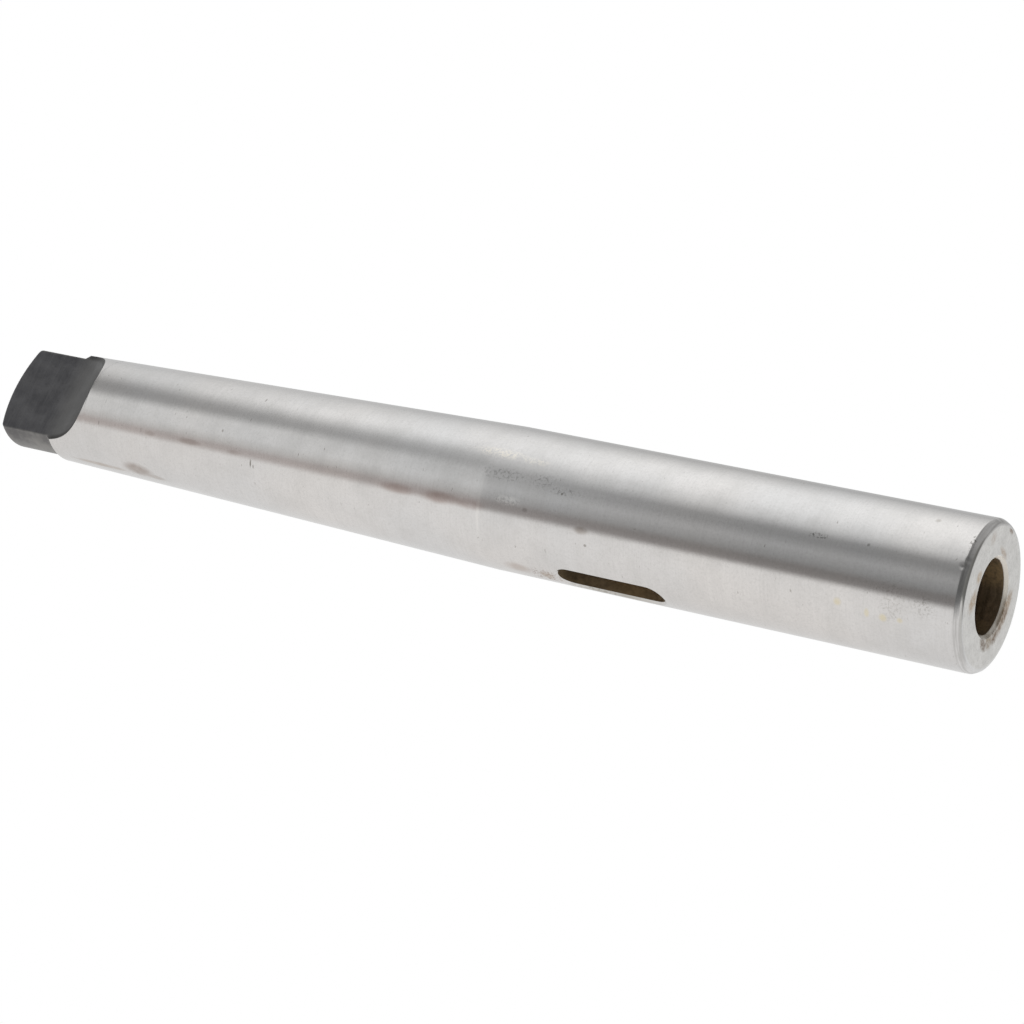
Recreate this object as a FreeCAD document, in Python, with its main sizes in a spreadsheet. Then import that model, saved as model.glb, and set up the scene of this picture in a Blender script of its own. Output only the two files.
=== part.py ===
"""Extension taper sleeve: a number 3 taper shank with a tang outside, a number 1 taper socket inside.

The real one is one piece of hardened steel. It is turned to its outline, the socket is drilled and
ground from the mouth, the drift slot and the tang's flats are milled, and the edges are broken.
It stands on its mouth: z is 0 at the mouth and rises towards the tang. The drift slot runs through
along Y and the tang's flats face along X, so a tool's tang in the slot lies in line with this one.
"""

import FreeCAD, Part
import os
import Sketcher

from FreeCAD import Vector

# Driving dimensions in millimetres. A taper is the length in which the diameter changes by one.
SIZES = [
    ("total_length", 192.5, "mouth to the top of the tang's crowned end"),
    ("shank_gauge_diameter", 23.825, "number 3 taper at its gauge line"),
    ("shank_gauge_to_end", 95.5, "gauge line to the tang's end"),
    ("shank_taper", 19.922, "number 3 taper"),
    ("body_over_gauge", 0.575, "parallel body, larger than the gauge diameter by this"),
    ("mouth_bevel_length", 1.05, "bevel round the mouth, along the axis"),
    ("mouth_bevel_depth", 0.55, "bevel round the mouth, on the radius"),
    ("tang_relief_length", 12.3, "relief, back from the tang's end"),
    ("tang_relief_depth", 0.72, "relief, below the taper's small end on the radius"),
    ("tang_shoulder_length", 1.0, "slope from the taper's small end down to the relief"),
    ("tang_end_crown", 26.0, "radius of the crown turned on the tang's end"),
    ("tang_end_radius", 0.9, "rounding between the crown and the relief"),
    ("tang_thickness", 7.6, "across the flats"),
    ("tang_flat_length", 10.8, "straight part of each flat"),
    ("tang_cutter_radius", 13.2, "run-out of the flats"),
    ("socket_gauge_diameter", 12.065, "number 1 taper at the mouth"),
    ("socket_taper", 20.047, "number 1 taper"),
    ("socket_bevel", 0.5, "countersink at the mouth, as far along as across"),
    ("socket_taper_length", 47.4, "mouth to where the taper meets the drilling"),
    ("socket_drill_past_taper", 8.6, "full diameter of the drilling past the taper"),
    ("socket_drill_angle", 118.0, "included angle of the drill's point, degrees"),
    ("slot_before_drill_end", 3.8, "the drift slot starts this far before the drilling ends"),
    ("slot_length", 19.7, "along the axis, round ends included"),
    ("slot_width", 5.2, "across the slot"),
    ("slot_edge_break", 0.4, "bevel on the slot's edges"),
    ("centre_pilot_diameter", 2.5, "pilot hole in the tang's end"),
    ("centre_pilot_depth", 6.0, "pilot hole, from the tang's end"),
    ("centre_cone_diameter", 5.3, "mouth of the lathe centre"),
    ("centre_cone_angle", 60.0, "included angle of the lathe centre, degrees"),
]

# Places that follow from the sizes, as expressions that the sketches hold.
BODY_RADIUS = "(sizes.shank_gauge_diameter + sizes.body_over_gauge) / 2"
CONE_START = (
    "sizes.total_length - sizes.shank_gauge_to_end - sizes.body_over_gauge * sizes.shank_taper"
)
RELIEF_START = "sizes.total_length - sizes.tang_relief_length"
CONE_END = f"{RELIEF_START} - sizes.tang_shoulder_length"
CONE_END_RADIUS = (
    "(sizes.shank_gauge_diameter - (sizes.shank_gauge_to_end"
    " - sizes.tang_relief_length - sizes.tang_shoulder_length) / sizes.shank_taper) / 2"
)
RELIEF_RADIUS = f"({CONE_END_RADIUS} - sizes.tang_relief_depth)"
CROWN_CENTRE = "(sizes.total_length - sizes.tang_end_crown)"
ROUNDING_RADIUS = f"({RELIEF_RADIUS} - sizes.tang_end_radius)"
ROUNDING_RISE = (
    "sqrt((sizes.tang_end_crown - sizes.tang_end_radius) ^ 2"
    f" - {ROUNDING_RADIUS} ^ 2)"
)
CROWN_RATIO = "sizes.tang_end_crown / (sizes.tang_end_crown - sizes.tang_end_radius)"
SOCKET_BEVEL_RADIUS = "(sizes.socket_gauge_diameter - sizes.socket_bevel / sizes.socket_taper) / 2"
SOCKET_DRILL_RADIUS = (
    "(sizes.socket_gauge_diameter - sizes.socket_taper_length / sizes.socket_taper) / 2"
)
SOCKET_DRILL_END = "sizes.socket_taper_length + sizes.socket_drill_past_taper"
SOCKET_DRILL_TIP = (
    f"{SOCKET_DRILL_END} + {SOCKET_DRILL_RADIUS} / tan(sizes.socket_drill_angle / 2 * 1 deg)"
)
SLOT_START = f"{SOCKET_DRILL_END} - sizes.slot_before_drill_end"
CENTRE_CONE_END = (
    "sizes.total_length - (sizes.centre_cone_diameter - sizes.centre_pilot_diameter) / 2"
    " / tan(sizes.centre_cone_angle / 2 * 1 deg)"
)


def make_sheet(doc):
    """The spreadsheet of driving dimensions: a name, a value and a note on each row."""
    sheet = doc.addObject("Spreadsheet::Sheet", "sizes")
    for row, (name, value, note) in enumerate(SIZES, start=1):
        sheet.set(f"A{row}", name)
        sheet.set(f"B{row}", str(value))
        sheet.set(f"C{row}", note)
        sheet.setAlias(f"B{row}", name)
    doc.recompute()
    return sheet


def origin_part(body, role):
    """One of the body's own origin planes or axes."""
    return next(feature for feature in body.Origin.OriginFeatures if feature.Role == role)


def upright_sketch(body, name):
    """A sketch through the axis: its x is the part's X and its y is the part's Z."""
    sketch = body.newObject("Sketcher::SketchObject", name)
    sketch.AttachmentSupport = [(origin_part(body, "XZ_Plane"), "")]
    sketch.MapMode = "FlatFace"
    return sketch


def hold(sketch, edge, end, name, x_expression, y_expression):
    """Holds one point of the sketch by named distances from the origin; None puts it on the axis."""
    for letter, expression, own_axis in (("X", x_expression, -2), ("Y", y_expression, -1)):
        if expression is None:
            sketch.addConstraint(Sketcher.Constraint("PointOnObject", edge, end, own_axis))
            continue
        value = sketch.evalExpression(expression)
        held = Sketcher.Constraint("Distance" + letter, -1, 1, edge, end, value)
        label = f"{name}_{letter.lower()}"
        sketch.renameConstraint(sketch.addConstraint(held), label)
        sketch.setExpression(f"Constraints.{label}", expression)


def arc_between(start, end, radius):
    """The arc that turns anticlockwise from start to end, as sketch geometry."""
    chord = end - start
    aside = Vector(-chord.y, chord.x, 0) / chord.Length
    centre = (start + end) / 2 + aside * (radius**2 - chord.Length**2 / 4) ** 0.5
    circle = Part.Circle(centre, Vector(0, 0, 1), radius)
    return Part.ArcOfCircle(circle, circle.parameter(start), circle.parameter(end))


def draw_profile(sketch, corners, arcs=()):
    """A closed outline through corners of (name, x expression, y expression).

    Its sides are straight, but for arcs of (name of the corner where it starts, radius expression).
    """
    points = []
    for _, x_expression, y_expression in corners:
        place = [0.0 if e is None else sketch.evalExpression(e) for e in (x_expression, y_expression)]
        points.append(Vector(*place, 0))
    radii = dict(arcs)
    for (name, _, _), start, end in zip(corners, points, points[1:] + points[:1]):
        if name in radii:
            radius = float(sketch.evalExpression(radii[name]))
            sketch.addGeometry(arc_between(start, end, radius), False)
        else:
            sketch.addGeometry(Part.LineSegment(start, end), False)
    for edge, (name, x_expression, y_expression) in enumerate(corners):
        following = (edge + 1) % len(corners)
        sketch.addConstraint(Sketcher.Constraint("Coincident", edge, 2, following, 1))
        hold(sketch, edge, 1, name, x_expression, y_expression)
        if name in radii:
            index = sketch.addConstraint(
                Sketcher.Constraint("Radius", edge, float(sketch.evalExpression(radii[name])))
            )
            sketch.setExpression(f"Constraints[{index}]", radii[name])


def draw_cutter_path(sketch, x_expression, low_expression, high_expression, radius_expression):
    """What an end mill leaves on its way between two heights: two walls and two round ends.

    low and high are the heights of the cutter's centre, x is where its centre line runs.
    """
    x, low, high, radius = (
        0.0 if e is None else sketch.evalExpression(e)
        for e in (x_expression, low_expression, high_expression, radius_expression)
    )
    left, right = x - radius, x + radius
    facing = Vector(0, 0, 1)
    half_turn = FreeCAD.Units.parseQuantity("180 deg").getValueAs("rad").Value
    upper_circle = Part.Circle(Vector(x, high, 0), facing, radius)
    lower_circle = Part.Circle(Vector(x, low, 0), facing, radius)
    sketch.addGeometry(Part.LineSegment(Vector(right, low, 0), Vector(right, high, 0)), False)
    sketch.addGeometry(Part.ArcOfCircle(upper_circle, 0, half_turn), False)
    sketch.addGeometry(Part.LineSegment(Vector(left, high, 0), Vector(left, low, 0)), False)
    sketch.addGeometry(Part.ArcOfCircle(lower_circle, half_turn, 2 * half_turn), False)
    for edge in range(4):
        sketch.addConstraint(Sketcher.Constraint("Tangent", edge, 2, (edge + 1) % 4, 1))
    sketch.addConstraint(Sketcher.Constraint("Equal", 1, 3))
    radius_index = sketch.addConstraint(Sketcher.Constraint("Radius", 1, radius))
    sketch.renameConstraint(radius_index, "cutter_radius")
    sketch.setExpression("Constraints.cutter_radius", radius_expression)
    hold(sketch, 1, 3, "upper", x_expression, high_expression)
    hold(sketch, 3, 3, "lower", x_expression, low_expression)


def cut_through(body, name, sketch):
    """Mills the sketch's outline right through the piece, both ways from the axis."""
    pocket = body.newObject("PartDesign::Pocket", name)
    pocket.Profile = sketch
    pocket.Type = "ThroughAll"
    pocket.SideType = "Symmetric"
    return pocket


def turn(body, kind, name, sketch):
    """Spins the sketch once round the sleeve's axis, as a Revolution or a Groove."""
    feature = body.newObject("PartDesign::" + kind, name)
    feature.Profile = sketch
    feature.ReferenceAxis = (sketch, ["V_Axis"])
    feature.Angle = 360
    return feature


def edges_where(feature, wanted):
    """Names of the feature's edges for which wanted(edge) holds."""
    return [f"Edge{i}" for i, edge in enumerate(feature.Shape.Edges, start=1) if wanted(edge)]


def add_outside(body):
    """The outside as turned: bevelled mouth, parallel body, taper, the tang's relief and crowned end."""
    sketch = upright_sketch(body, "outside_profile")
    draw_profile(sketch, [
        ("mouth_centre", None, None),
        ("mouth_rim", f"{BODY_RADIUS} - sizes.mouth_bevel_depth", None),
        ("bevel_end", BODY_RADIUS, "sizes.mouth_bevel_length"),
        ("cone_start", BODY_RADIUS, CONE_START),
        ("cone_end", CONE_END_RADIUS, CONE_END),
        ("relief_start", RELIEF_RADIUS, RELIEF_START),
        ("relief_end", RELIEF_RADIUS, f"{CROWN_CENTRE} + {ROUNDING_RISE}"),
        (
            "crown_edge",
            f"{ROUNDING_RADIUS} * {CROWN_RATIO}",
            f"{CROWN_CENTRE} + {ROUNDING_RISE} * {CROWN_RATIO}",
        ),
        ("end_centre", None, "sizes.total_length"),
    ], arcs=[("relief_end", "sizes.tang_end_radius"), ("crown_edge", "sizes.tang_end_crown")])
    return turn(body, "Revolution", "outside", sketch)


def add_socket(body):
    """The number 1 taper from the mouth, with its countersink and the drilled clearance past it."""
    sketch = upright_sketch(body, "socket_profile")
    draw_profile(sketch, [
        ("mouth_centre", None, None),
        ("countersink_rim", f"{SOCKET_BEVEL_RADIUS} + sizes.socket_bevel", None),
        ("taper_start", SOCKET_BEVEL_RADIUS, "sizes.socket_bevel"),
        ("taper_end", SOCKET_DRILL_RADIUS, "sizes.socket_taper_length"),
        ("drill_end", SOCKET_DRILL_RADIUS, SOCKET_DRILL_END),
        ("drill_tip", None, SOCKET_DRILL_TIP),
    ])
    return turn(body, "Groove", "socket", sketch)


def add_tail_centre(body):
    """The lathe centre in the tang's end, on which the outside was ground."""
    sketch = upright_sketch(body, "tail_centre_profile")
    draw_profile(sketch, [
        ("end_centre", None, "sizes.total_length"),
        ("cone_rim", "sizes.centre_cone_diameter / 2", "sizes.total_length"),
        ("cone_end", "sizes.centre_pilot_diameter / 2", CENTRE_CONE_END),
        (
            "pilot_end",
            "sizes.centre_pilot_diameter / 2",
            "sizes.total_length - sizes.centre_pilot_depth",
        ),
        ("pilot_centre", None, "sizes.total_length - sizes.centre_pilot_depth"),
    ])
    return turn(body, "Groove", "tail_centre", sketch)


def add_drift_slot(body, width, socket_radius):
    """The drift slot, milled right through, with its edges broken on both sides."""
    sketch = upright_sketch(body, "drift_slot_path")
    draw_cutter_path(
        sketch,
        None,
        f"{SLOT_START} + sizes.slot_width / 2",
        f"{SLOT_START} + sizes.slot_length - sizes.slot_width / 2",
        "sizes.slot_width / 2",
    )
    slot = cut_through(body, "drift_slot", sketch)
    body.Document.recompute()

    def is_outer_rim(edge):
        """An edge as narrow as the slot, all of it farther out than the socket and between the ends."""
        points = edge.discretize(5)
        length = body.Shape.BoundBox.ZMax
        inside_ends = edge.BoundBox.ZMin > 1e-3 and edge.BoundBox.ZMax < length - 1e-3
        narrow = max(abs(p.x) for p in points) < width / 2 + 1e-3
        far_out = min(Vector(p.x, p.y, 0).Length for p in points) > socket_radius
        return inside_ends and narrow and far_out

    bevel = body.newObject("PartDesign::Chamfer", "slot_edge_break")
    bevel.Base = (slot, edges_where(slot, is_outer_rim))
    bevel.setExpression("Size", "sizes.slot_edge_break")
    return bevel


def add_tang_flats(body):
    """The two flats of the tang, each milled down to the run-out that the cutter leaves."""
    sketch = upright_sketch(body, "tang_flat_path")
    draw_cutter_path(
        sketch,
        "sizes.tang_thickness / 2 + sizes.tang_cutter_radius",
        "sizes.total_length - sizes.tang_flat_length",
        "sizes.total_length + sizes.tang_cutter_radius",
        "sizes.tang_cutter_radius",
    )
    flat = cut_through(body, "tang_flat", sketch)
    other = body.newObject("PartDesign::Mirrored", "tang_flats")
    other.Originals = [flat]
    other.MirrorPlane = (origin_part(body, "YZ_Plane"), [""])
    body.Tip = other
    return other


def check_cut(body, name, before):
    """A feature that cuts has to leave less than there was, or it points away from the piece."""
    body.Document.recompute()
    left = body.Shape.Volume
    print(f"{name}: {left:.1f} mm3")
    if left >= before:
        raise RuntimeError(f"{name} removed nothing")
    return left


def make_sleeve(doc, sheet):
    """The whole sleeve as one body, made in the order in which the real one is machined."""
    body = doc.addObject("PartDesign::Body", "taper_sleeve")
    body.Label = "taper_sleeve"
    add_outside(body)
    doc.recompute()
    volume = body.Shape.Volume
    add_socket(body)
    volume = check_cut(body, "socket", volume)
    add_tail_centre(body)
    volume = check_cut(body, "tail_centre", volume)
    add_drift_slot(body, sheet.slot_width, sheet.socket_gauge_diameter / 2)
    volume = check_cut(body, "drift_slot", volume)
    add_tang_flats(body)
    check_cut(body, "tang_flats", volume)
    return body


def check_document(doc, bodies):
    """Stops before anything is written if an object failed or a piece is not one sound solid."""
    for item in doc.Objects:
        if "Invalid" in item.State or "Error" in item.State:
            raise RuntimeError(f"{item.Name} failed: {item.State}")
    for body in bodies:
        shape = body.Shape
        if shape.isNull() or not shape.isValid() or len(shape.Solids) != 1:
            raise RuntimeError(f"{body.Label} is not one valid solid")


def main():
    doc = FreeCAD.newDocument("taper_sleeve")
    sheet = make_sheet(doc)
    bodies = [make_sleeve(doc, sheet)]
    doc.recompute()
    check_document(doc, bodies)
    os.makedirs("parts", exist_ok=True)
    for body in bodies:
        body.Shape.exportStep(f"parts/{body.Label}.step")
        box = body.Shape.BoundBox
        print(f"{body.Label}: {box.XLength:.2f} x {box.YLength:.2f} x {box.ZLength:.2f} mm")


main()
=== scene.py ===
"""Looks of a taper extension sleeve: ground steel outside, black heat scale on the tang, a rusty socket."""

import math

import bmesh
import bpy
import numpy as np
from mathutils import Matrix, Vector


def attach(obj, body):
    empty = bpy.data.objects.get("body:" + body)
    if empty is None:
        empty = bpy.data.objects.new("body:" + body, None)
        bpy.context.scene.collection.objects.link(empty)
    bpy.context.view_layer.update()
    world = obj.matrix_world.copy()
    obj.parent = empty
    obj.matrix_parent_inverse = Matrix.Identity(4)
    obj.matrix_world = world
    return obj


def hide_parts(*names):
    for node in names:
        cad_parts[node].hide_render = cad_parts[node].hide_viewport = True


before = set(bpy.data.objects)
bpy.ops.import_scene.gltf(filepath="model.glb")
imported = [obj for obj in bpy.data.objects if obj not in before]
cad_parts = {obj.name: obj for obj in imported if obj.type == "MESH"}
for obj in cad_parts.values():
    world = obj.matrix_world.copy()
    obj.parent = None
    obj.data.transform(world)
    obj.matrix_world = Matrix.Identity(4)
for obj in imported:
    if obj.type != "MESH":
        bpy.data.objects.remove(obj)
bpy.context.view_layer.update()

# The outside
# Hardened steel, turned and then ground between centres: a parallel body with a bevelled mouth, then
# a number 3 taper up to the turned relief of the tang. All lengths are millimetres until the mesh.

LENGTH = 192.5
BODY_RADIUS = 12.2
BEVEL_RADIUS = 11.65
BEVEL_HEIGHT = 1.05
GAUGE_TO_END = 95.5
BODY_OVER_GAUGE = 0.575
SHANK_TAPER = 19.922
CONE_START = LENGTH - GAUGE_TO_END - BODY_OVER_GAUGE * SHANK_TAPER
RELIEF_START = LENGTH - 12.3
SHOULDER = RELIEF_START - 1.0  # a slope 1 mm long leads down to the relief
RELIEF_DEPTH = 0.72
CROWN = 26.0  # radius of the tang's end
ROUNDING = 0.9
HALF = 128  # steps round half of the sleeve
FACE_MIDDLE = 9.0  # radius on the mouth face where the outside's rings meet the socket's
FACE_ROWS = 8

sheets = []  # each one a grid of points and the number of its finish
GROUND, FACE, BORE, SLOT, SCALE = range(5)  # in the order in which the finishes are made


def cone_radius(z):
    """Radius of the outside: the body's, less (height over the taper's start) / SHANK_TAPER / 2."""
    return BODY_RADIUS - np.maximum(z - CONE_START, 0) / SHANK_TAPER / 2


RELIEF_RADIUS = cone_radius(SHOULDER) - RELIEF_DEPTH


def eased(before, corner, after, size, steps=4):
    """A corner worn round: the curve (1-t)^2 a + 2t(1-t) c + t^2 b, with a and b size away from corner c."""
    before, corner, after = map(np.array, (before, corner, after))
    a = corner + (before - corner) / np.linalg.norm(before - corner) * size
    b = corner + (after - corner) / np.linalg.norm(after - corner) * size
    t = np.linspace(0, 1, steps + 1)[:, None]
    return (1 - t) ** 2 * a + 2 * t * (1 - t) * corner + t**2 * b


# The tang
# The last 20 mm of the same bar, milled flat on both sides with a large cutter, which runs out in a
# hollow curve. It was left as it came from the furnace, black, while the rest was ground bright.

TANG_HALF = 3.8
FLAT_LENGTH = 10.8
CUTTER = 13.2
FLAT_START = LENGTH - FLAT_LENGTH


def flat_distance(z):
    """How far the milled flat lies from the axis: TANG_HALF, and before FLAT_START the cutter's circle."""
    before = np.clip(FLAT_START - z, 0, CUTTER)
    return TANG_HALF + CUTTER - np.sqrt(CUTTER**2 - before**2)


# The run-out ends where the cutter's circle comes out through the taper.
heights = np.linspace(FLAT_START - CUTTER, SHOULDER, 40001)
RUN_OUT = heights[np.argmax(flat_distance(heights) < cone_radius(heights))]


# Sizes of the slot and the socket
# The drift slot is milled straight through, along Y. The socket is drilled from the mouth, then its
# number 1 taper is ground. Their edges meet inside, so their sizes come before the rows of the outside.

SLOT_HALF = 2.6
SLOT_LOW, SLOT_HIGH = 52.2 + SLOT_HALF, 71.9 - SLOT_HALF  # centres of the round ends
EDGE_BREAK = 0.4
SOCKET_MOUTH = 12.065  # across
SOCKET_LENGTH = 47.4
SOCKET_TAPER = 20.047
DRILL_RADIUS = (SOCKET_MOUTH - SOCKET_LENGTH / SOCKET_TAPER) / 2
DRILL_END = 56.0
DRILL_SLOPE = math.tan(math.radians(118 / 2))
TIP_ROW = DRILL_END + (DRILL_RADIUS - SLOT_HALF) / DRILL_SLOPE  # there the drill point is as wide as the slot
WINDOW = (45.0, 78.0)  # rows between which the outside goes round the slot
WINDOW_COLUMNS = (46, 82)

# Rings of the outside as pairs of radius and height, closer together where the shape changes. The
# corner between the face and the bevel is worn rounder than the one above it.
rows_near_mouth = np.vstack([
    np.column_stack([np.linspace(FACE_MIDDLE, 11.1, FACE_ROWS), np.zeros(FACE_ROWS)]),
    eased((FACE_MIDDLE, 0), (BEVEL_RADIUS, 0), (BODY_RADIUS, BEVEL_HEIGHT), 0.50),
    eased((BEVEL_RADIUS, 0), (BODY_RADIUS, BEVEL_HEIGHT), (BODY_RADIUS, 9), 0.20),
])
window_rows = np.arange(WINDOW[0], WINDOW[1] + 0.5)
window_rows[np.argmin(abs(window_rows - TIP_ROW))] = TIP_ROW
cone_rows = np.concatenate([
    np.arange(1.4, 6, 0.3),
    np.arange(6, 45, 1.5),
    window_rows,
    np.linspace(79, CONE_START, 6),
    np.linspace(CONE_START + 0.5, RUN_OUT - 0.5, 34),
    RUN_OUT + (SHOULDER - 0.1 - RUN_OUT) * np.linspace(0, 1, 22) ** 1.5,
])
slope_start = (cone_radius(SHOULDER), SHOULDER)
slope_end = (RELIEF_RADIUS, RELIEF_START)
shoulder_rows = np.vstack([
    eased((cone_radius(170), 170), slope_start, slope_end, 0.08)[1:],
    eased(slope_start, slope_end, (RELIEF_RADIUS, LENGTH), 0.12),
])

# The end was turned to a shallow crown with a rounded edge: arcs round points on the axis and off it. A
# 60 degree lathe centre with its pilot hole is drilled into the crown.
rise = math.sqrt((CROWN - ROUNDING) ** 2 - (RELIEF_RADIUS - ROUNDING) ** 2)
rounding_at = LENGTH - CROWN + rise
t = np.linspace(0, math.atan2(rise, RELIEF_RADIUS - ROUNDING), 12)
rounding_rows = np.column_stack([
    RELIEF_RADIUS - ROUNDING + ROUNDING * np.cos(t),
    rounding_at + ROUNDING * np.sin(t),
])
CENTRE_RADIUS = 2.65
CENTRE_SLOPE = math.tan(math.radians(60 / 2))
PILOT_RADIUS = 1.25
PILOT_DEPTH = 6.0
centre_rim = CENTRE_RADIUS
for _ in range(8):  # the cone meets the crown a little below the top
    centre_rim = CENTRE_RADIUS - (CROWN - math.sqrt(CROWN**2 - centre_rim**2)) * CENTRE_SLOPE
y_crown = np.linspace(math.sqrt(rounding_rows[-1, 0] ** 2 - TANG_HALF**2), 0, 20)[1:]
crown_radii = np.concatenate([np.hypot(TANG_HALF, y_crown), np.linspace(TANG_HALF, centre_rim, 6)[1:]])
centre_foot = LENGTH - (CENTRE_RADIUS - PILOT_RADIUS) / CENTRE_SLOPE
end_rows = np.vstack([
    rounding_rows,
    np.column_stack([crown_radii, LENGTH - CROWN + np.sqrt(CROWN**2 - crown_radii**2)]),
    [(PILOT_RADIUS, centre_foot), (PILOT_RADIUS, LENGTH - PILOT_DEPTH), (0, LENGTH - PILOT_DEPTH)],
])
relief_rows = np.linspace(RELIEF_START + 0.3, rounding_at, 16)[:-1]
profile = np.vstack([
    rows_near_mouth,
    np.column_stack([cone_radius(cone_rows), cone_rows]),
    shoulder_rows,
    np.column_stack([np.full(len(relief_rows), RELIEF_RADIUS), relief_rows]),
    end_rows,
])
first_tang_row = np.argmax(profile[:, 1] >= RUN_OUT - 1e-9)
first_relief_row = np.argmax(profile[:, 1] > RELIEF_START)
crown_row = len(profile) - len(end_rows) + len(rounding_rows)
last_flat_row = crown_row + len(y_crown) - 1  # there the crown is as wide as the tang is thick


def around(radius, angle, z):
    """Points (r cos a, r sin a, z) at radius r and at angle a from X round the axis."""
    return np.stack(np.broadcast_arrays(radius * np.cos(angle), radius * np.sin(angle), z), axis=-1)


def half_angles(radius, z):
    """Angles of the half on +Y: from acos(flat / radius), where the flat on +X cuts it, to the one on -X."""
    start = np.arccos(np.clip(flat_distance(z) / np.maximum(radius, 0.1), -1, 1))
    start = np.where(z > RUN_OUT, start, 0.0)
    return start[:, None] + (math.pi - 2 * start)[:, None] * np.arange(HALF + 1) / HALF


def both_halves(grid, finish):
    """Adds a grid that was made on the +Y half, and the same one turned half a turn."""
    sheets.append((grid, finish))
    sheets.append((grid * (-1, -1, 1), finish))


skin = around(profile[:, :1], half_angles(profile[:, 0], profile[:, 1]), profile[:, 1:])
window_start = np.argmin(abs(profile[:, 1] - WINDOW[0]))
window_end = np.argmin(abs(profile[:, 1] - WINDOW[1]))
left, right = WINDOW_COLUMNS
both_halves(skin[: FACE_ROWS + 1], FACE)
both_halves(skin[FACE_ROWS : window_start + 1], GROUND)
both_halves(skin[window_start : window_end + 1, : left + 1], GROUND)
both_halves(skin[window_start : window_end + 1, right:], GROUND)
both_halves(skin[window_end : first_relief_row + 1], GROUND)
both_halves(skin[first_relief_row:], SCALE)


# The flats have the same rows: x = flat_distance(z), and across each row y goes out to the outside.
rows = profile[first_tang_row : last_flat_row + 1]
x = np.where(rows[:, 1] > RUN_OUT, np.minimum(flat_distance(rows[:, 1]), rows[:, 0]), rows[:, 0])[:, None]
y = np.sqrt(np.maximum(rows[:, :1] ** 2 - x**2, 0)) * np.linspace(-1, 1, 25)
both_halves(np.stack(np.broadcast_arrays(x, y, rows[:, 1:]), axis=-1), SCALE)


# The drift slot
# A slot 5.2 mm wide with round ends, milled through both walls before hardening, so its sides are
# dark and unground. Its edges were broken with a file and show as a paler strip.


def slot_outline(offset, towards):
    """Where the slot's outline, grown by offset, is met on the way from its centre line to each point."""
    centre = np.column_stack([np.zeros(len(towards)), np.clip(towards[:, 1], SLOT_LOW, SLOT_HIGH)])
    away = towards - centre
    return centre + away / np.linalg.norm(away, axis=1)[:, None] * (SLOT_HALF + offset)


def bore_depth(x, z):
    """How far from the XZ plane the drilled bore lies at x: sqrt(r^2 - x^2), r its radius at that height."""
    radius = DRILL_RADIUS - np.maximum(z - DRILL_END, 0) * DRILL_SLOPE
    radius = np.where(z > TIP_ROW + 1e-6, 0, radius)
    return np.sqrt(np.maximum(radius**2 - x**2, 0))


# The window in the outside is a frame of points, and rings lead from each one to the slot's rim.
angles = np.pi * np.arange(left, right + 1) / HALF
rows = window_rows
frame_angle = np.concatenate([
    angles,
    np.full(len(rows) - 1, angles[-1]),
    angles[-2::-1],
    np.full(len(rows) - 1, angles[0]),
])
frame_z = np.concatenate([
    np.full(len(angles), rows[0]),
    rows[1:],
    np.full(len(angles) - 1, rows[-1]),
    rows[-2::-1],
])
frame_xz = np.column_stack([BODY_RADIUS * np.cos(frame_angle), frame_z])
rim_xz = slot_outline(EDGE_BREAK, frame_xz)
rim_angle = np.arccos(rim_xz[:, 0] / BODY_RADIUS)
t = np.linspace(0, 1, 11)[:, None] ** 1.4
ring_angle = (1 - t) * rim_angle + t * frame_angle
ring_z = (1 - t) * rim_xz[:, 1] + t * frame_z
both_halves(around(BODY_RADIUS, ring_angle, ring_z), GROUND)

wall_xz = slot_outline(0, frame_xz)
x, z = wall_xz.T
rim_points = around(BODY_RADIUS, rim_angle, rim_xz[:, 1])
wall_top = np.stack([x, np.sqrt(BODY_RADIUS**2 - x**2) - EDGE_BREAK, z], axis=-1)
wall_foot = np.stack([x, bore_depth(x, z), z], axis=-1)
t = np.linspace(0, 1, 4)[:, None, None]
both_halves((1 - t) * rim_points + t * wall_top, GROUND)
t = np.linspace(0, 1, 25)[:, None, None]
both_halves((1 - t) * wall_top + t * wall_foot, SLOT)


# The socket
# Countersunk at the mouth, then the number 1 taper, then the drilling, which the slot cuts open. It
# has rusted: brown inside, with spots that have crept out on to the mouth face.

SINK_DEPTH = 0.5
SINK_RADIUS = (SOCKET_MOUTH - SINK_DEPTH / SOCKET_TAPER) / 2

sink_rim = (SINK_RADIUS + SINK_DEPTH, 0)
sink_foot = (SINK_RADIUS, SINK_DEPTH)
taper_rows = np.linspace(2, SOCKET_LENGTH, 24)
taper_radii = np.interp(taper_rows, [SINK_DEPTH, SOCKET_LENGTH], [SINK_RADIUS, DRILL_RADIUS])
bore_profile = np.vstack([
    np.column_stack([np.linspace(FACE_MIDDLE, SINK_RADIUS + 0.62, FACE_ROWS), np.zeros(FACE_ROWS)]),
    eased((FACE_MIDDLE, 0), sink_rim, sink_foot, 0.1),
    eased(sink_rim, sink_foot, (DRILL_RADIUS, SOCKET_LENGTH), 0.1),
    np.column_stack([taper_radii, taper_rows]),
    [(DRILL_RADIUS, 48.5), (DRILL_RADIUS, 50.0), (DRILL_RADIUS, SLOT_LOW - SLOT_HALF)],
])
all_round = np.pi * np.arange(2 * HALF + 1) / HALF
bore = around(bore_profile[:, :1], all_round, bore_profile[:, 1:])
sink_end = len(bore_profile) - len(taper_rows) - 4  # last row of the countersink's worn foot
sheets.append((bore[: sink_end + 1], FACE))
sheets.append((bore[sink_end:], BORE))
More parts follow.
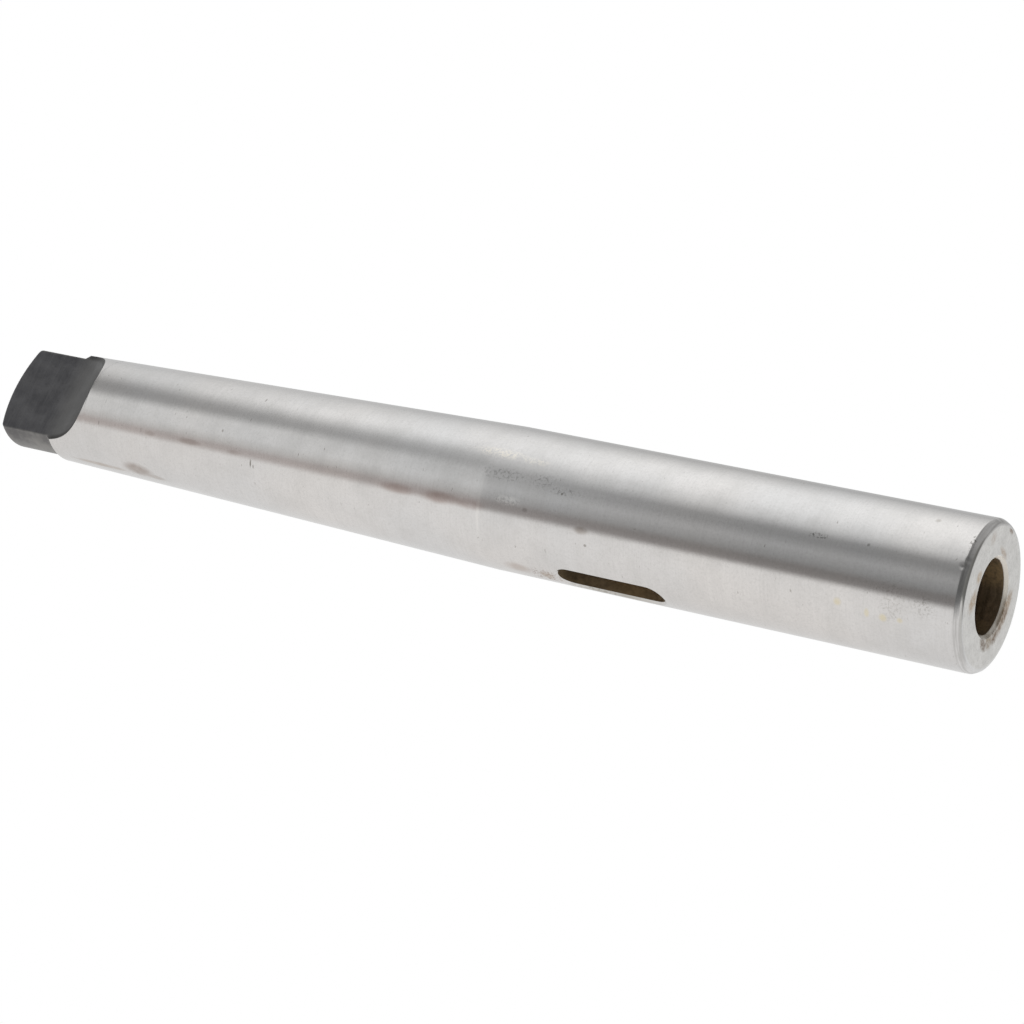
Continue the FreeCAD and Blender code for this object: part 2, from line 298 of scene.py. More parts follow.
# Beside the slot only the two sides of the bore are left: rows at the heights of the slot's outline,
# each from one wall of the slot to the other.
side = (x >= -1e-9) & (z <= TIP_ROW + 1e-6)
order = np.argsort(z[side])
side_x, side_z = x[side][order], z[side][order]
side_radius = DRILL_RADIUS - np.maximum(side_z - DRILL_END, 0) * DRILL_SLOPE
reach = np.arccos(np.clip(side_x / side_radius, -1, 1))
spread = np.linspace(-1, 1, HALF + 1)
both_halves(around(side_radius[:, None], reach[:, None] * spread, side_z[:, None]), BORE)


# One piece from the sheets
# The sheets are joined where they meet into one closed skin of the steel. The sleeve has been dropped
# on its mouth more than once, so the edge there has nicks in it.

NICKS = [  # angle from X in degrees, height, width and depth
    (-5.9, 1.1, 0.35, 0.16),
    (-0.8, 0.8, 0.30, 0.10),
    (58.0, 0.9, 0.45, 0.12),
    (148.0, 1.0, 0.55, 0.15),
    (-112.0, 1.0, 0.45, 0.12),
]


def nicked(points):
    """Pushes points of the mouth's edge that are near a nick inwards: depth * exp(-(distance / width)^2)."""
    radius = np.hypot(points[..., 0], points[..., 1])
    angle = np.arctan2(points[..., 1], points[..., 0])
    at_edge = (radius > 10.5) & (points[..., 2] < 6)
    inward = np.zeros_like(radius)
    for degrees, z, width, depth in NICKS:
        across = (np.mod(angle - math.radians(degrees) + math.pi, 2 * math.pi) - math.pi) * BODY_RADIUS
        off = np.hypot(across, (points[..., 2] - z) * 0.8)
        inward += depth * np.exp(-((off / width) ** 2)) * at_edge
    scale = 1 - inward / np.maximum(radius, 1)
    return points * np.stack([scale, scale, np.ones_like(scale)], axis=-1)


MILLIMETRE = 0.001
SAME_POINT = 3e-7  # metres between points of two sheets that are one point
SHARP = 28  # degrees between faces, past which an edge shows as an edge

vertices, faces, finishes = [], [], []
count = 0
for grid, finish in sheets:
    n, m = grid.shape[:2]
    vertices.append(nicked(grid).reshape(-1, 3) * MILLIMETRE)
    i = count + np.arange(n * m).reshape(n, m)
    quads = np.stack([i[:-1, :-1], i[:-1, 1:], i[1:, 1:], i[1:, :-1]], axis=-1).reshape(-1, 4)
    faces.append(quads)
    finishes.append(np.full(len(quads), finish))
    count += n * m

mesh = bpy.data.meshes.new("sleeve")
mesh.from_pydata(np.vstack(vertices), [], np.vstack(faces).tolist())
mesh.polygons.foreach_set("material_index", np.concatenate(finishes).astype(np.int32))
work = bmesh.new()
work.from_mesh(mesh)
bmesh.ops.remove_doubles(work, verts=work.verts, dist=SAME_POINT)
bmesh.ops.recalc_face_normals(work, faces=work.faces)
work.to_mesh(mesh)
work.free()
mesh.shade_smooth()
mesh.set_sharp_from_angle(angle=math.radians(SHARP))
sleeve = bpy.data.objects.new("sleeve", mesh)
bpy.context.scene.collection.objects.link(sleeve)
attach(sleeve, "root")
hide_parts("taper_sleeve")


# Finishes
# One bar of tool steel in five finishes: ground outside, faced at the mouth, rusted in the bore,
# as milled in the slot, and black with heat scale on the tang.


def linear(code):
    """An sRGB hex colour as the linear one that the shader works in."""
    value = np.array([int(code[i : i + 2], 16) for i in (1, 3, 5)]) / 255
    low, high = value / 12.92, ((value + 0.055) / 1.055) ** 2.4
    return (*np.where(value <= 0.04045, low, high), 1)


def add(tree, kind, inputs=(), **settings):
    """Adds a node, with a value or another node's output for each socket named by its place or name.

    By place, a MapRange reads 0 over the range 1 to 2 and gives the range 3 to 4, and a Mix gives its
    colour 7 by the share in 0 and its colour 6 by the rest.
    """
    node = tree.nodes.new("ShaderNode" + kind)
    for name, value in settings.items():
        setattr(node, name, value)
    for name, value in dict(inputs).items():
        if isinstance(value, bpy.types.Node):
            value = value.outputs[0]
        if isinstance(value, bpy.types.NodeSocket):
            tree.links.new(value, node.inputs[name])
        else:
            node.inputs[name].default_value = value
    return node


def new_finish(name, **shader_values):
    """A material with its shader's own values set, and the object's coordinates in millimetres."""
    material = bpy.data.materials.new(name)
    material.use_nodes = True
    tree = material.node_tree
    shader = tree.nodes["Principled BSDF"]
    for socket, value in shader_values.items():
        shader.inputs[socket.replace("_", " ")].default_value = value
    place = add(tree, "TexCoord").outputs["Object"]
    millimetres = add(tree, "VectorMath", {0: place, "Scale": 1000.0}, operation="SCALE")
    mesh.materials.append(material)
    return tree, shader, millimetres


def coated(tree, tone, coats):
    """Colours over a tone: each one's share is strength * (0 to 1 as its pattern goes from low to high)."""
    for pattern, low, high, code, strength in coats:
        share = add(tree, "MapRange", {0: pattern, 1: low, 2: high, 4: strength})
        tone = add(tree, "Mix", {0: share, 6: tone, 7: linear(code)}, data_type="RGBA").outputs[2]
    return tone


def stain(tree, tone, place, pattern, centre, radii, code, strength):
    """A colour over a tone in an ellipsoid: its share is strength * pattern * (1 inside to 0 outside)."""
    scale = [1 / r for r in radii]
    shift = [-c / r for c, r in zip(centre, radii)]
    off = add(tree, "VectorMath", {0: place, 1: scale, 2: shift}, operation="MULTIPLY_ADD")
    distance = add(tree, "VectorMath", {0: off}, operation="LENGTH").outputs["Value"]
    fade = {0: distance, 1: 1.0, 2: 0.3, 4: strength}
    inside = add(tree, "MapRange", fade, interpolation_type="SMOOTHSTEP")
    share = add(tree, "Math", {0: inside, 1: pattern}, operation="MULTIPLY")
    return add(tree, "Mix", {0: share, 6: tone, 7: linear(code)}, data_type="RGBA").outputs[2]


# Ground steel, on the body and the taper
# Cylindrically ground: bright, neutral and nearly a mirror, with very fine lines round the piece.
# Handling has left it mottled, with speckled scuffs, a few small pits and a little rust by the slot.

tree, shader, place = new_finish("ground_steel", Metallic=1.0, Anisotropic=0.5, Anisotropic_Rotation=0.25)
# The wheel's lines are really some hundredths of a millimetre apart. They are drawn a third of a
# millimetre apart and faint, because finer ones wouldn't show. They lie in belts about 3 mm wide.
round_it = add(tree, "Mapping", {"Vector": place, "Scale": (0.12, 0.12, 3.0)})
lines = add(tree, "TexNoise", {"Vector": round_it, "Scale": 1.0, "Detail": 3.0, "Roughness": 0.6})
belts = add(tree, "TexNoise", {"Vector": round_it, "Scale": 0.12, "Detail": 4.0, "Roughness": 0.6})
# Mottling from hands and oil drifts over 30 mm and clouds over 5 mm. Scuffs have a grain of 0.45 mm.
drift = add(tree, "TexNoise", {"Vector": place, "Scale": 0.035, "Detail": 2.0})
cloud = add(tree, "TexNoise", {"Vector": place, "Scale": 0.2, "Detail": 6.0, "Roughness": 0.6})
grain = add(tree, "TexNoise", {"Vector": place, "Scale": 2.2, "Detail": 5.0, "Roughness": 0.75})
# The bevel at the mouth was turned, so its lines are deeper.
z = add(tree, "SeparateXYZ", {0: place}).outputs["Z"]
at_mouth = add(tree, "MapRange", {0: z, 1: 1.5, 2: 0.9, 4: 0.75})
deep = add(tree, "MapRange", {0: lines, 1: 0.42, 2: 0.60})
scored = add(tree, "Math", {0: deep, 1: at_mouth}, operation="MULTIPLY")
tone = coated(tree, linear("#dddbd9"), [
    (drift, 0.38, 0.62, "#d8d8d8", 1.00),
    (cloud, 0.42, 0.72, "#c4c3c1", 0.34),
    (belts, 0.45, 0.70, "#c6c5c3", 0.12),
    (lines, 0.45, 0.75, "#b8b7b5", 0.14),
    (grain, 0.48, 0.66, "#bdbcba", 0.30),
    (scored, 0.0, 1.0, "#8e8d8a", 0.45),
])
specks = add(tree, "MapRange", {0: grain, 1: 0.50, 2: 0.60})
flecks = add(tree, "MapRange", {0: grain, 1: 0.55, 2: 0.44})
smudge = add(tree, "MapRange", {0: cloud, 1: 0.30, 2: 0.55, 3: 0.5})
for pattern, centre, radii, code, strength in [
    # dark scuffs and pale ones where the taper begins
    (specks, (12.1, -1.4, 81.8), (2.5, 1.4, 6.0), "#7b7c79", 0.45),
    (specks, (12.1, -1.2, 74.6), (2.5, 1.4, 2.8), "#777774", 0.50),
    (specks, (12.0, -2.3, 70.2), (2.5, 0.8, 3.4), "#747470", 0.55),
    (smudge, (11.9, -2.7, 70.4), (0.30, 0.30, 0.30), "#6a655c", 0.70),
    (smudge, (10.5, -6.2, 76.5), (0.5, 0.5, 0.7), "#7d7670", 0.35),
    (flecks, (12.0, 2.3, 84.0), (2.5, 1.3, 6.4), "#fbf4e4", 0.50),
    (flecks, (12.0, 1.9, 77.2), (2.5, 0.9, 3.4), "#fbf4e4", 0.35),
    (flecks, (10.9, -5.4, 80.0), (1.8, 1.0, 3.4), "#f6f6f4", 0.75),
    # a reddish streak along the taper
    (smudge, (9.9, -6.9, 93.0), (1.6, 1.3, 5.5), "#a28e86", 0.60),
    (smudge, (9.8, -6.8, 101.5), (1.4, 1.1, 5.0), "#a8958e", 0.55),
    (smudge, (10.0, -7.0, 87.0), (1.4, 1.1, 3.6), "#a8958e", 0.50),
    (smudge, (9.7, -7.4, 65.8), (1.2, 0.8, 1.8), "#9a928b", 0.65),
    (smudge, (8.9, -5.9, 146.0), (0.8, 0.7, 3.4), "#9c9088", 0.45),
    (smudge, (8.7, -5.8, 154.9), (0.7, 0.6, 1.6), "#9c9088", 0.40),
    (smudge, (9.0, -6.2, 136.0), (0.7, 0.6, 2.0), "#a0948c", 0.30),
    # a smear near the tang
    (smudge, (1.7, -10.2, 159.4), (2.3, 1.6, 4.2), "#8d7d72", 0.75),
    (smudge, (0.6, -10.4, 155.8), (1.0, 0.8, 3.0), "#9b8f84", 0.50),
    (smudge, (0.3, -10.1, 168.5), (0.9, 0.8, 8.5), "#a8998a", 0.60),
    # rust and dirt round the slot
    (specks, (-0.6, -12.1, 74.4), (2.8, 1.8, 4.0), "#7a583f", 0.95),
    (smudge, (-0.2, -12.1, 74.0), (1.6, 1.4, 1.6), "#a3917f", 0.60),
    (smudge, (0.4, -12.2, 79.5), (2.0, 1.4, 3.4), "#b5a79e", 0.60),
    (smudge, (-4.0, -11.6, 62.0), (2.4, 2.4, 12.5), "#a5a198", 0.85),
    (specks, (-4.0, -11.6, 66.0), (2.4, 2.4, 9.0), "#7f7b72", 0.60),
    # yellow spots of dried oil, and dirt at the mouth
    (smudge, (7.9, -9.3, 20.2), (0.9, 0.9, 0.9), "#d8cca6", 0.60),
    (smudge, (7.2, -9.8, 15.3), (1.0, 1.0, 0.6), "#dbd1b0", 0.60),
    (smudge, (7.0, -10.0, 12.6), (0.9, 0.9, 0.9), "#d9ceab", 0.60),
    (smudge, (7.1, -9.9, 9.8), (0.6, 0.6, 0.7), "#d9ceab", 0.50),
    (specks, (11.8, 3.2, 1.2), (1.0, 2.6, 0.6), "#5d5a55", 0.90),
    (specks, (9.3, -7.9, 6.0), (2.0, 2.6, 2.6), "#a3a19d", 0.60),
    (specks, (9.0, -8.0, 11.0), (4.0, 5.0, 3.0), "#b0aeaa", 0.50),
    # dents and short scratches
    (smudge, (8.1, -9.1, 64.9), (0.35, 0.35, 0.4), "#6f6a60", 0.80),
    (smudge, (8.3, -7.2, 132.4), (1.0, 1.0, 0.22), "#77736c", 1.00),
    (smudge, (8.0, -7.6, 131.8), (0.5, 0.5, 0.20), "#7f7b75", 0.90),
    (smudge, (10.1, 4.2, 133.8), (0.6, 0.6, 0.22), "#85817b", 0.75),
    (specks, (12.1, -1.0, 25.2), (2.0, 0.6, 2.4), "#62625e", 0.80),
    (smudge, (12.1, -0.9, 16.8), (0.9, 0.35, 0.35), "#7a7873", 0.60),
    (smudge, (10.4, -3.2, 139.3), (0.30, 0.40, 0.3), "#8f8b85", 0.80),
    (smudge, (10.6, 6.1, 8.2), (0.6, 0.6, 0.6), "#a09b91", 0.70),
    # a painted highlight in a ring where the body turns into the taper
    (smudge, (9.0, -6.5, 85.4), (7.0, 7.0, 0.45), "#ecebe8", 0.40),
    # faint smudges on the hidden side
    (smudge, (-11.0, -4.0, 120.0), (2.5, 3.0, 8.0), "#a8a097", 0.45),
    (smudge, (2.0, 10.8, 140.0), (3.0, 2.0, 5.0), "#a39487", 0.45),
]:
    tone = stain(tree, tone, place, pattern, centre, radii, code, strength)
# Pits are 1 mm long round the sleeve and half as high, and only the noise's highest peaks are pits.
short_place = add(tree, "Mapping", {"Vector": place, "Scale": (0.8, 0.8, 2.2)})
pits = add(tree, "TexNoise", {"Vector": short_place, "Scale": 1.0, "Detail": 2.0, "Roughness": 0.45})
pit = add(tree, "MapRange", {0: pits, 1: 0.735, 2: 0.78, 4: 0.50})
tone = add(tree, "Mix", {0: pit, 6: tone, 7: linear("#8b8781")}, data_type="RGBA").outputs[2]
tree.links.new(tone, shader.inputs["Base Color"])
rough = add(tree, "MapRange", {0: cloud, 1: 0.3, 2: 0.75, 3: 0.12, 4: 0.18})
tree.links.new(rough.outputs[0], shader.inputs["Roughness"])
tangent = add(tree, "Tangent", direction_type="RADIAL", axis="Z")
tree.links.new(tangent.outputs[0], shader.inputs["Tangent"])
height = add(tree, "Math", {0: pit, 1: -2.0, 2: grain}, operation="MULTIPLY_ADD")
bump = add(tree, "Bump", {"Height": height, "Strength": 0.3, "Distance": 0.00001})
tree.links.new(bump.outputs[0], shader.inputs["Normal"])


# Faced steel, on the mouth
# The mouth was turned square, which leaves faint rings a fifth of a millimetre apart. Dirt and rust lie
# outside the countersink, which is painted pale and dull as painted light in place of its bright reflection.

tree, shader, place = new_finish("faced_steel", Metallic=1.0, Roughness=0.26)
flat_place = add(tree, "VectorMath", {0: place, 1: (1, 1, 0)}, operation="MULTIPLY")
radius = add(tree, "VectorMath", {0: flat_place}, operation="LENGTH").outputs["Value"]
fifths = add(tree, "Math", {0: radius, 1: 5.0}, operation="MULTIPLY")
rings = add(tree, "TexNoise", {"W": fifths, "Scale": 1.0, "Detail": 3.0}, noise_dimensions="1D")
# Rust spots have a grain of 0.6 mm, and the grime clouds over 2.5 mm.
grain = add(tree, "TexNoise", {"Vector": place, "Scale": 1.6, "Detail": 4.0, "Roughness": 0.65})
cloud = add(tree, "TexNoise", {"Vector": place, "Scale": 0.4, "Detail": 5.0, "Roughness": 0.6})
rim_radius = SINK_RADIUS + SINK_DEPTH
# Painted light: the countersink is painted near white, standing in for its bright reflection.
countersink_painted_light = add(tree, "MapRange", {0: radius, 1: rim_radius + 0.06, 2: rim_radius})
tone = coated(tree, linear("#d9d8d5"), [
    (cloud, 0.35, 0.70, "#c6c5c2", 1.00),
    (rings, 0.40, 0.80, "#b5b3b0", 0.22),
    (grain, 0.50, 0.70, "#b4b1ae", 0.40),
    (countersink_painted_light, 0.00, 1.00, "#f4efe6", 1.00),
])
specks = add(tree, "MapRange", {0: grain, 1: 0.42, 2: 0.56, 3: 0.55})
for centre, radii, code, strength in [
    ((-7.0, 0.8, 0.0), (1.8, 4.8, 1.0), "#b09a80", 0.70),
    ((-6.8, 3.0, 0.0), (1.5, 2.4, 1.0), "#8a7355", 0.80),
    ((-7.3, 0.7, 0.0), (1.5, 2.1, 1.0), "#6b5338", 1.00),
    ((-7.0, -1.5, 0.0), (1.4, 2.0, 1.0), "#6f5a41", 0.90),
    ((-6.4, -3.6, 0.0), (1.6, 1.8, 1.0), "#69543b", 1.00),
    ((-5.0, -5.3, 0.0), (1.9, 1.6, 1.0), "#7c6a50", 0.90),
    ((-3.2, -6.6, 0.0), (2.4, 1.2, 1.0), "#6a5843", 1.00),
    ((-4.0, -4.7, 0.4), (2.6, 1.7, 0.8), "#8f8069", 0.80),
    ((6.6, -4.2, 0.0), (1.7, 2.6, 1.0), "#a38b6e", 0.85),
    ((7.6, -0.5, 0.0), (1.2, 1.5, 1.0), "#b19b80", 0.80),
    ((7.6, 6.3, 0.0), (1.3, 1.6, 1.0), "#b3a69a", 0.50),
    ((2.0, 10.8, 0.0), (1.4, 0.7, 1.0), "#7d6a5a", 0.90),
    ((1.8, 6.9, 0.0), (2.6, 0.8, 1.0), "#a38c74", 0.65),
]:
    tone = stain(tree, tone, place, specks, centre, radii, code, strength)
# The countersink is made less metallic than the face, so its painted light shows instead of a mirror.
metal = add(tree, "MapRange", {0: countersink_painted_light, 3: 1.0, 4: 0.25})
tree.links.new(metal.outputs[0], shader.inputs["Metallic"])
tree.links.new(tone, shader.inputs["Base Color"])
both = add(tree, "Math", {0: grain, 1: rings}, operation="ADD")
bump = add(tree, "Bump", {"Height": both, "Strength": 0.35, "Distance": 0.00002})
tree.links.new(bump.outputs[0], shader.inputs["Normal"])


# Stained steel, in the socket
# The reamed bore is dark olive brown under old oil and rust with a grain of 0.8 mm. It has paler golden
# rings about a millimetre apart, and painted highlights in pale golden patches just inside the mouth.

tree, shader, place = new_finish("stained_bore", Metallic=0.6, Roughness=0.42)
ring_place = add(tree, "Mapping", {"Vector": place, "Scale": (0.12, 0.12, 0.9)})
rings = add(tree, "TexNoise", {"Vector": ring_place, "Scale": 1.0, "Detail": 5.0, "Roughness": 0.65})
grain = add(tree, "TexNoise", {"Vector": place, "Scale": 1.2, "Detail": 5.0, "Roughness": 0.7})
tone = coated(tree, linear("#7e6f5b"), [
    (rings, 0.38, 0.68, "#b09b81", 1.00),
    (grain, 0.45, 0.70, "#574936", 0.60),
])
# Painted highlights: paler golden patches just inside the mouth.
painted_highlight_patches = add(tree, "MapRange", {0: grain, 1: 0.62, 2: 0.40, 3: 0.3})
tone = stain(tree, tone, place, painted_highlight_patches, (-2.4, 5.2, 2.6), (4.2, 2.8, 4.4), "#c6aa7e", 0.85)
tone = stain(tree, tone, place, painted_highlight_patches, (-5.0, -3.2, 3.0), (2.6, 2.4, 3.0), "#a5926f", 0.70)
tree.links.new(tone, shader.inputs["Base Color"])
bump = add(tree, "Bump", {"Height": grain, "Strength": 0.5, "Distance": 0.00006})
tree.links.new(bump.outputs[0], shader.inputs["Normal"])


# Milled steel, in the slot
# Milled and hardened, never ground: its sides are olive brown with oil, in spots of 1 mm and clouds of
# 4 mm. The wedge has rubbed them golden midway, and painted shade darkens them at the end towards the tang.

tree, shader, place = new_finish("milled_slot", Metallic=0.6, Roughness=0.5)
grain = add(tree, "TexNoise", {"Vector": place, "Scale": 1.0, "Detail": 5.0, "Roughness": 0.65})
cloud = add(tree, "TexNoise", {"Vector": place, "Scale": 0.25, "Detail": 3.0})
tone = coated(tree, linear("#ad9a7d"), [(grain, 0.35, 0.70, "#7e6f5a", 1.00)])
smudge = add(tree, "MapRange", {0: cloud, 1: 0.3, 2: 0.6, 3: 0.4})
tone = stain(tree, tone, place, smudge, (0.0, 0.0, 60.0), (20.0, 20.0, 7.0), "#a99068", 0.60)
# Painted shade in the slot's round end towards the tang.
tone = stain(tree, tone, place, smudge, (0.0, 0.0, 72.0), (20.0, 20.0, 4.0), "#4f4436", 0.60)
tree.links.new(tone, shader.inputs["Base Color"])
bump = add(tree, "Bump", {"Height": grain, "Strength": 0.5, "Distance": 0.00005})
tree.links.new(bump.outputs[0], shader.inputs["Normal"])


# Heat scale, on the tang
# Thin, hard and charcoal, mottled over 3 mm with a grit of 0.4 mm. The cutter's marks, half a millimetre
# apart, show through across the flats. Painted light lies on the narrow sides and the run-out, painted shade
# on its edge.

tree, shader, place = new_finish("heat_scale", Metallic=0.5, Roughness=0.40)
mottle = add(tree, "TexNoise", {"Vector": place, "Scale": 0.3, "Detail": 6.0, "Roughness": 0.62})
cut_place = add(tree, "Mapping", {"Vector": place, "Scale": (1.0, 0.12, 2.2)})
marks = add(tree, "TexNoise", {"Vector": cut_place, "Scale": 1.0, "Detail": 4.0, "Roughness": 0.6})
grit = add(tree, "TexNoise", {"Vector": place, "Scale": 2.6, "Detail": 3.0})
flat_place = add(tree, "VectorMath", {0: place, 1: (1, 1, 0)}, operation="MULTIPLY")
radius = add(tree, "VectorMath", {0: flat_place}, operation="LENGTH").outputs["Value"]
z = add(tree, "SeparateXYZ", {0: place}).outputs["Z"]
# Painted light: the run-out's hollow is painted lighter, fading out over the 3 mm before the flat begins.
run_out_painted_light = add(tree, "MapRange", {0: z, 1: FLAT_START, 2: FLAT_START - 3.0})
# Painted shade, darkest along the run-out's edge: there radius + z / SHANK_TAPER / 2 comes close to the
# taper's own.
edge = add(tree, "Math", {0: z, 1: 0.5 / SHANK_TAPER, 2: radius}, operation="MULTIPLY_ADD")
level = BODY_RADIUS + CONE_START / SHANK_TAPER / 2
near = add(tree, "MapRange", {0: edge, 1: level - 1.1, 2: level - 0.3}, interpolation_type="SMOOTHSTEP")
before = add(tree, "MapRange", {0: z, 1: RELIEF_START, 2: SHOULDER - 0.5, 4: 0.72})
corner = add(tree, "Math", {0: near, 1: before}, operation="MULTIPLY")
# Painted light on the narrow sides alone, which are the turned ones, and above the shoulder.
turned = add(tree, "MapRange", {0: radius, 1: RELIEF_RADIUS - 0.25, 2: RELIEF_RADIUS - 0.08})
after = add(tree, "MapRange", {0: z, 1: SHOULDER, 2: RELIEF_START + 0.4, 4: 0.8})
patchy = add(tree, "MapRange", {0: mottle, 1: 0.35, 2: 0.60, 3: 0.35})
# Patches of painted light above the shoulder.
worn = add(tree, "Math", {0: after, 1: patchy}, operation="MULTIPLY")
narrow_side_painted_light = add(tree, "Math", {0: turned, 1: worn}, operation="MULTIPLY")
tone = coated(tree, linear("#48484b"), [
    (mottle, 0.35, 0.68, "#606062", 1.00),
    (marks, 0.45, 0.75, "#676769", 0.50),
    (grit, 0.55, 0.75, "#3c3c3b", 0.40),
    (run_out_painted_light, 0.00, 1.00, "#7d7d7b", 0.45),
    (corner, 0.00, 1.00, "#24231f", 1.00),
    (narrow_side_painted_light, 0.00, 1.00, "#848380", 1.00),
])
tree.links.new(tone, shader.inputs["Base Color"])
both = add(tree, "Math", {0: grit, 1: marks}, operation="ADD")
bump = add(tree, "Bump", {"Height": both, "Strength": 0.5, "Distance": 0.00003})
tree.links.new(bump.outputs[0], shader.inputs["Normal"])


# The bench
# A plain pale top, just under the mouth. It is seen only from above, so that the photograph's view,
# which looks up past the mouth, keeps its white ground.

BENCH_HALF = 3.0  # metres, as all of the stage
BENCH_TOP = -0.0002

bench_mesh = bpy.data.meshes.new("bench")
corners = [(-1, -1), (1, -1), (1, 1), (-1, 1)]
points = [(x * BENCH_HALF, y * BENCH_HALF, BENCH_TOP) for x, y in corners]
bench_mesh.from_pydata(points, [], [(0, 1, 2, 3)])
bench = bpy.data.objects.new("bench", bench_mesh)
bpy.context.scene.collection.objects.link(bench)
board = bpy.data.materials.new("painted_board")
board.use_nodes = True
tree = board.node_tree
paint = tree.nodes["Principled BSDF"]
paint.inputs["Base Color"].default_value = linear("#f2f1ee")
paint.inputs["Roughness"].default_value = 0.7
clear = add(tree, "BsdfTransparent")
from_below = add(tree, "NewGeometry").outputs["Backfacing"]
either = add(tree, "MixShader", {0: from_below, 1: paint, 2: clear})
tree.links.new(either.outputs[0], tree.nodes["Material Output"].inputs["Surface"])
bench_mesh.materials.append(board)
bench.visible_diffuse = bench.visible_glossy = bench.visible_transmission = bench.visible_shadow = False


# Light
# A white tent round the sleeve with one brighter side and an open gap where the camera stands, which
# polished steel shows as a dark band. Soft lamps give the bench its shadow.

CAMERA_AT = Vector((0.382735, -0.166286, -0.151002))

world = bpy.data.worlds.new("tent")
bpy.context.scene.world = world
world.use_nodes = True
tree = world.node_tree
way = add(tree, "TexCoord").outputs["Generated"]
camera_angle = math.atan2(CAMERA_AT.y, CAMERA_AT.x)
turned = add(tree, "VectorRotate", {"Vector": way, "Angle": -camera_angle}, rotation_type="Z_AXIS")
parts = add(tree, "SeparateXYZ", {0: turned})
angle = add(tree, "Math", {0: parts.outputs["Y"], 1: parts.outputs["X"]}, operation="ARCTAN2")
clockwise = add(tree, "MapRange", {0: angle, 1: math.pi, 2: -math.pi})


def tent_ring(stops):
    """Light round the tent at one height: pairs of degrees clockwise from the camera, and the level there."""
    node = add(tree, "ValToRGB", {0: clockwise})
    bar = node.color_ramp
    for degrees, level in stops:
        at_end = {-180: bar.elements[0], 180: bar.elements[-1]}
        stop = at_end.get(degrees) or bar.elements.new(degrees / 360 + 0.5)
        stop.color = (*np.broadcast_to(level, 3), 1)
    return node.outputs[0]


WARM = np.array([1.0, 0.98, 0.965])
TAN = np.array([1.0, 0.945, 0.92])  # a warm wall beyond the gap in the tent
ROSE = np.array([1.0, 0.91, 0.88])  # the same wall further up
below = tent_ring([
    (-180, 0.86), (-165, 0.60), (-148, 0.40), (-132, 0.50), (-116, 0.42), (-81, 0.36), (-42, 0.18),
    (0, 0.14), (18, 0.20), (45, 0.85 * WARM), (110, 0.88 * WARM), (180, 0.86),
])
low = tent_ring([
    (-180, 0.72), (-165, 0.54), (-148, 0.53), (-134, 0.72), (-108, 1.10), (-92, 1.14), (-72, 1.06),
    (-52, 0.79), (-45, 0.60), (-36, 0.32), (-27, 0.29), (-12, 0.43),
    (5, 0.31), (13, 0.225 * TAN), (23, 0.27 * TAN),
    (31, 0.91 * WARM), (52, 0.93 * WARM), (84, 0.90 * WARM), (116, 0.86 * WARM), (180, 0.74),
])
high = tent_ring([
    (-180, 0.78), (-165, 0.62), (-144, 0.68), (-124, 0.82), (-104, 0.95), (-92, 1.03), (-84, 1.03),
    (-76, 0.90), (-68, 0.73), (-60, 0.51), (-52, 0.41), (-46, 0.44), (-32, 0.84), (-8, 0.88),
    (6, 0.72 * WARM), (16, 0.55 * ROSE), (23, 0.61 * ROSE),
    (32, 0.94 * WARM), (60, 0.95 * WARM), (116, 0.90 * WARM), (180, 0.78),
])
top = tent_ring([
    (-180, 0.74), (-165, 0.60), (-144, 0.64), (-124, 0.74), (-108, 0.70), (-96, 0.57), (-84, 0.39),
    (-76, 0.30), (-68, 0.25), (-60, 0.31), (-48, 0.42), (-32, 0.82), (-8, 0.78),
    (6, 0.66 * WARM), (16, 0.54 * ROSE), (23, 0.58 * ROSE),
    (32, 0.86 * WARM), (60, 0.86 * WARM), (116, 0.82 * WARM), (180, 0.74),
])
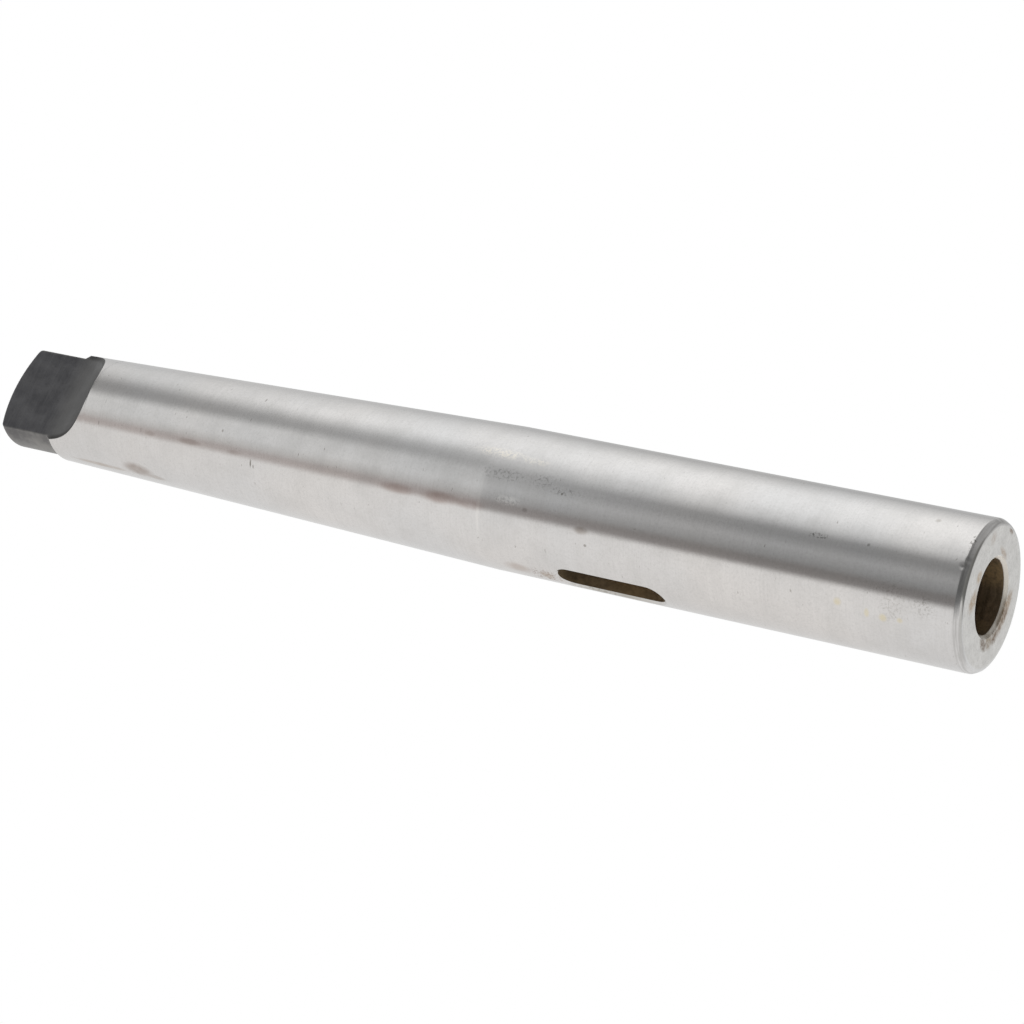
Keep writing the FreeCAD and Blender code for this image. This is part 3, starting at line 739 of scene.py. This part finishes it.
# The rings lie over each other: below, low, high and top. Towards the ground one side is in shade.
height = parts.outputs["Z"]
lift = add(tree, "MapRange", {0: height, 1: 0.42, 2: 0.62}, interpolation_type="SMOOTHSTEP")
sink = add(tree, "MapRange", {0: height, 1: 0.22, 2: -0.02}, interpolation_type="SMOOTHSTEP")
tent = add(tree, "Mix", {0: lift, 6: low, 7: high}, data_type="RGBA").outputs[2]
peak = add(tree, "MapRange", {0: height, 1: 0.58, 2: 0.67}, interpolation_type="SMOOTHSTEP")
tent = add(tree, "Mix", {0: peak, 6: tent, 7: top}, data_type="RGBA").outputs[2]
tent = add(tree, "Mix", {0: sink, 6: tent, 7: below}, data_type="RGBA").outputs[2]
lit = add(tree, "MapRange", {0: parts.outputs["Y"], 1: -0.08, 2: -0.22})
shade, white_side = (0.22, 0.22, 0.21, 1), (0.84, 0.83, 0.81, 1)
under = add(tree, "Mix", {0: lit, 6: shade, 7: white_side}, data_type="RGBA").outputs[2]
floor = add(tree, "MapRange", {0: height, 1: -0.62, 2: -0.82}, interpolation_type="SMOOTHSTEP")
tent = add(tree, "Mix", {0: floor, 6: tent, 7: under}, data_type="RGBA").outputs[2]
# The camera sees plain white behind the sleeve.
seen = add(tree, "LightPath").outputs["Is Camera Ray"]
light = add(tree, "Mix", {0: seen, 6: tent, 7: (1, 1, 1, 1)}, data_type="RGBA").outputs[2]
tree.nodes["Background"].inputs["Strength"].default_value = 1.0
tree.links.new(light, tree.nodes["Background"].inputs["Color"])

SLEEVE_MIDDLE = Vector((0, 0, 0.09))
for name, at, width, power in [
    ("lamp_left", (-0.5, -0.6, 0.9), 0.5, 4.0),
    ("lamp_right", (0.9, 0.3, 0.7), 0.6, 3.0),
]:
    data = bpy.data.lights.new(name, "AREA")
    data.size, data.energy = width, power
    lamp = bpy.data.objects.new(name, data)
    bpy.context.scene.collection.objects.link(lamp)
    lamp.location = at
    lamp.rotation_euler = (Vector(at) - SLEEVE_MIDDLE).to_track_quat("Z", "Y").to_euler()
    lamp.visible_glossy = False


# The camera
# Where the photograph was taken: 44 cm off, beside and below the mouth of the standing sleeve, so the
# sleeve lies across the frame with its mouth to the right.

lens = bpy.data.cameras.new("camera")
lens.sensor_width = 36.0
lens.lens = 100.643  # fitted to the mouth and the body in the photograph
lens.clip_start = 0.01
camera = bpy.data.objects.new("camera", lens)
bpy.context.scene.collection.objects.link(camera)
to_the_right = Vector((-0.362736, 0.379181, -0.851260))
upwards = Vector((0.478335, 0.859716, 0.179121))
backwards = Vector((0.799761, -0.342214, -0.493226))
turn = Matrix((to_the_right, upwards, backwards)).transposed()
camera.matrix_world = Matrix.Translation(CAMERA_AT) @ turn.to_4x4()
bpy.context.scene.camera = camera

bpy.context.scene.view_settings.view_transform = "Standard"
